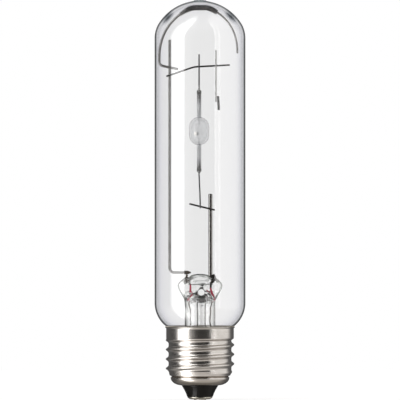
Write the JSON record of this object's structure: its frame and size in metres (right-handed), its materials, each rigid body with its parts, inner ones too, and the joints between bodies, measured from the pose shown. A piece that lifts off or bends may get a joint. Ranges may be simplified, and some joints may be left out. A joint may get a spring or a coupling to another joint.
{
  "type": "grow lamp",
  "caption": "Tubular discharge grow lamp: clear glass bulb, wire frame, ceramic burner on a glass stem, and a nickel-plated Edison screw cap with a centre contact.",
  "frame": {"origin": "on the lamp's axis, at the crown of the centre contact", "axes": "+Z along the axis from the contact to the dome; X across the flat of the glass press, with the tall support rod on -X; -Y is the burner's front"},
  "size_m": [0.0348, 0.0348, 0.1534],
  "materials": {
    "clear_glass": "clear drawn glass",
    "nickel_shell": "nickel plated, bright, rolled",
    "black_glass": "black pressed glass, glossy",
    "contact_brass": "stamped, lightly tarnished",
    "solder": "dull solder",
    "cement": "baked cement",
    "stem_glass": "pressed lead glass",
    "oxidised_nickel": "oxidised",
    "seal_copper": "borated copper-clad, red brown",
    "copper_lead": "plated copper wire, tarnished",
    "frame_nickel": "drawn nickel wire",
    "spring_steel": "dark, close wound",
    "getter_metal": "sintered, matte",
    "alumina": "translucent sintered alumina",
    "frit": "dark sealing frit",
    "niobium": "drawn",
    "dose": "bright drop"
  },
  "bodies": {
    "root": {"outer_bulb": "clear_glass", "cap_shell": "nickel_shell", "cap_insulator": "black_glass", "contact_plate": "contact_brass", "contact_solder": "solder", "cap_cement": "cement", "glass_stem": "stem_glass", "exhaust_tube": "stem_glass", "left_foot_weld": "oxidised_nickel", "left_inner_lead": "oxidised_nickel", "right_inner_lead": "oxidised_nickel", "left_seal_wire": "seal_copper", "right_seal_wire": "seal_copper", "left_lead_wire": "copper_lead", "right_lead_wire": "copper_lead", "left_support_rod": "frame_nickel", "right_support_rod": "frame_nickel", "lower_cross_wire": "frame_nickel", "upper_cross_wire": "frame_nickel", "top_hoop": "frame_nickel", "hoop_coil_spring": "spring_steel", "getter_holder": "frame_nickel", "getter_strip": "getter_metal", "burner_body": "alumina", "upper_capillary": "alumina", "lower_capillary": "alumina", "upper_frit_seal": "frit", "lower_frit_seal": "frit", "upper_electrode": "niobium", "lower_electrode": "niobium", "upper_burner_lead": "frame_nickel", "lower_burner_lead": "frame_nickel", "dose_bead": "dose"}
  },
  "joints": []
}
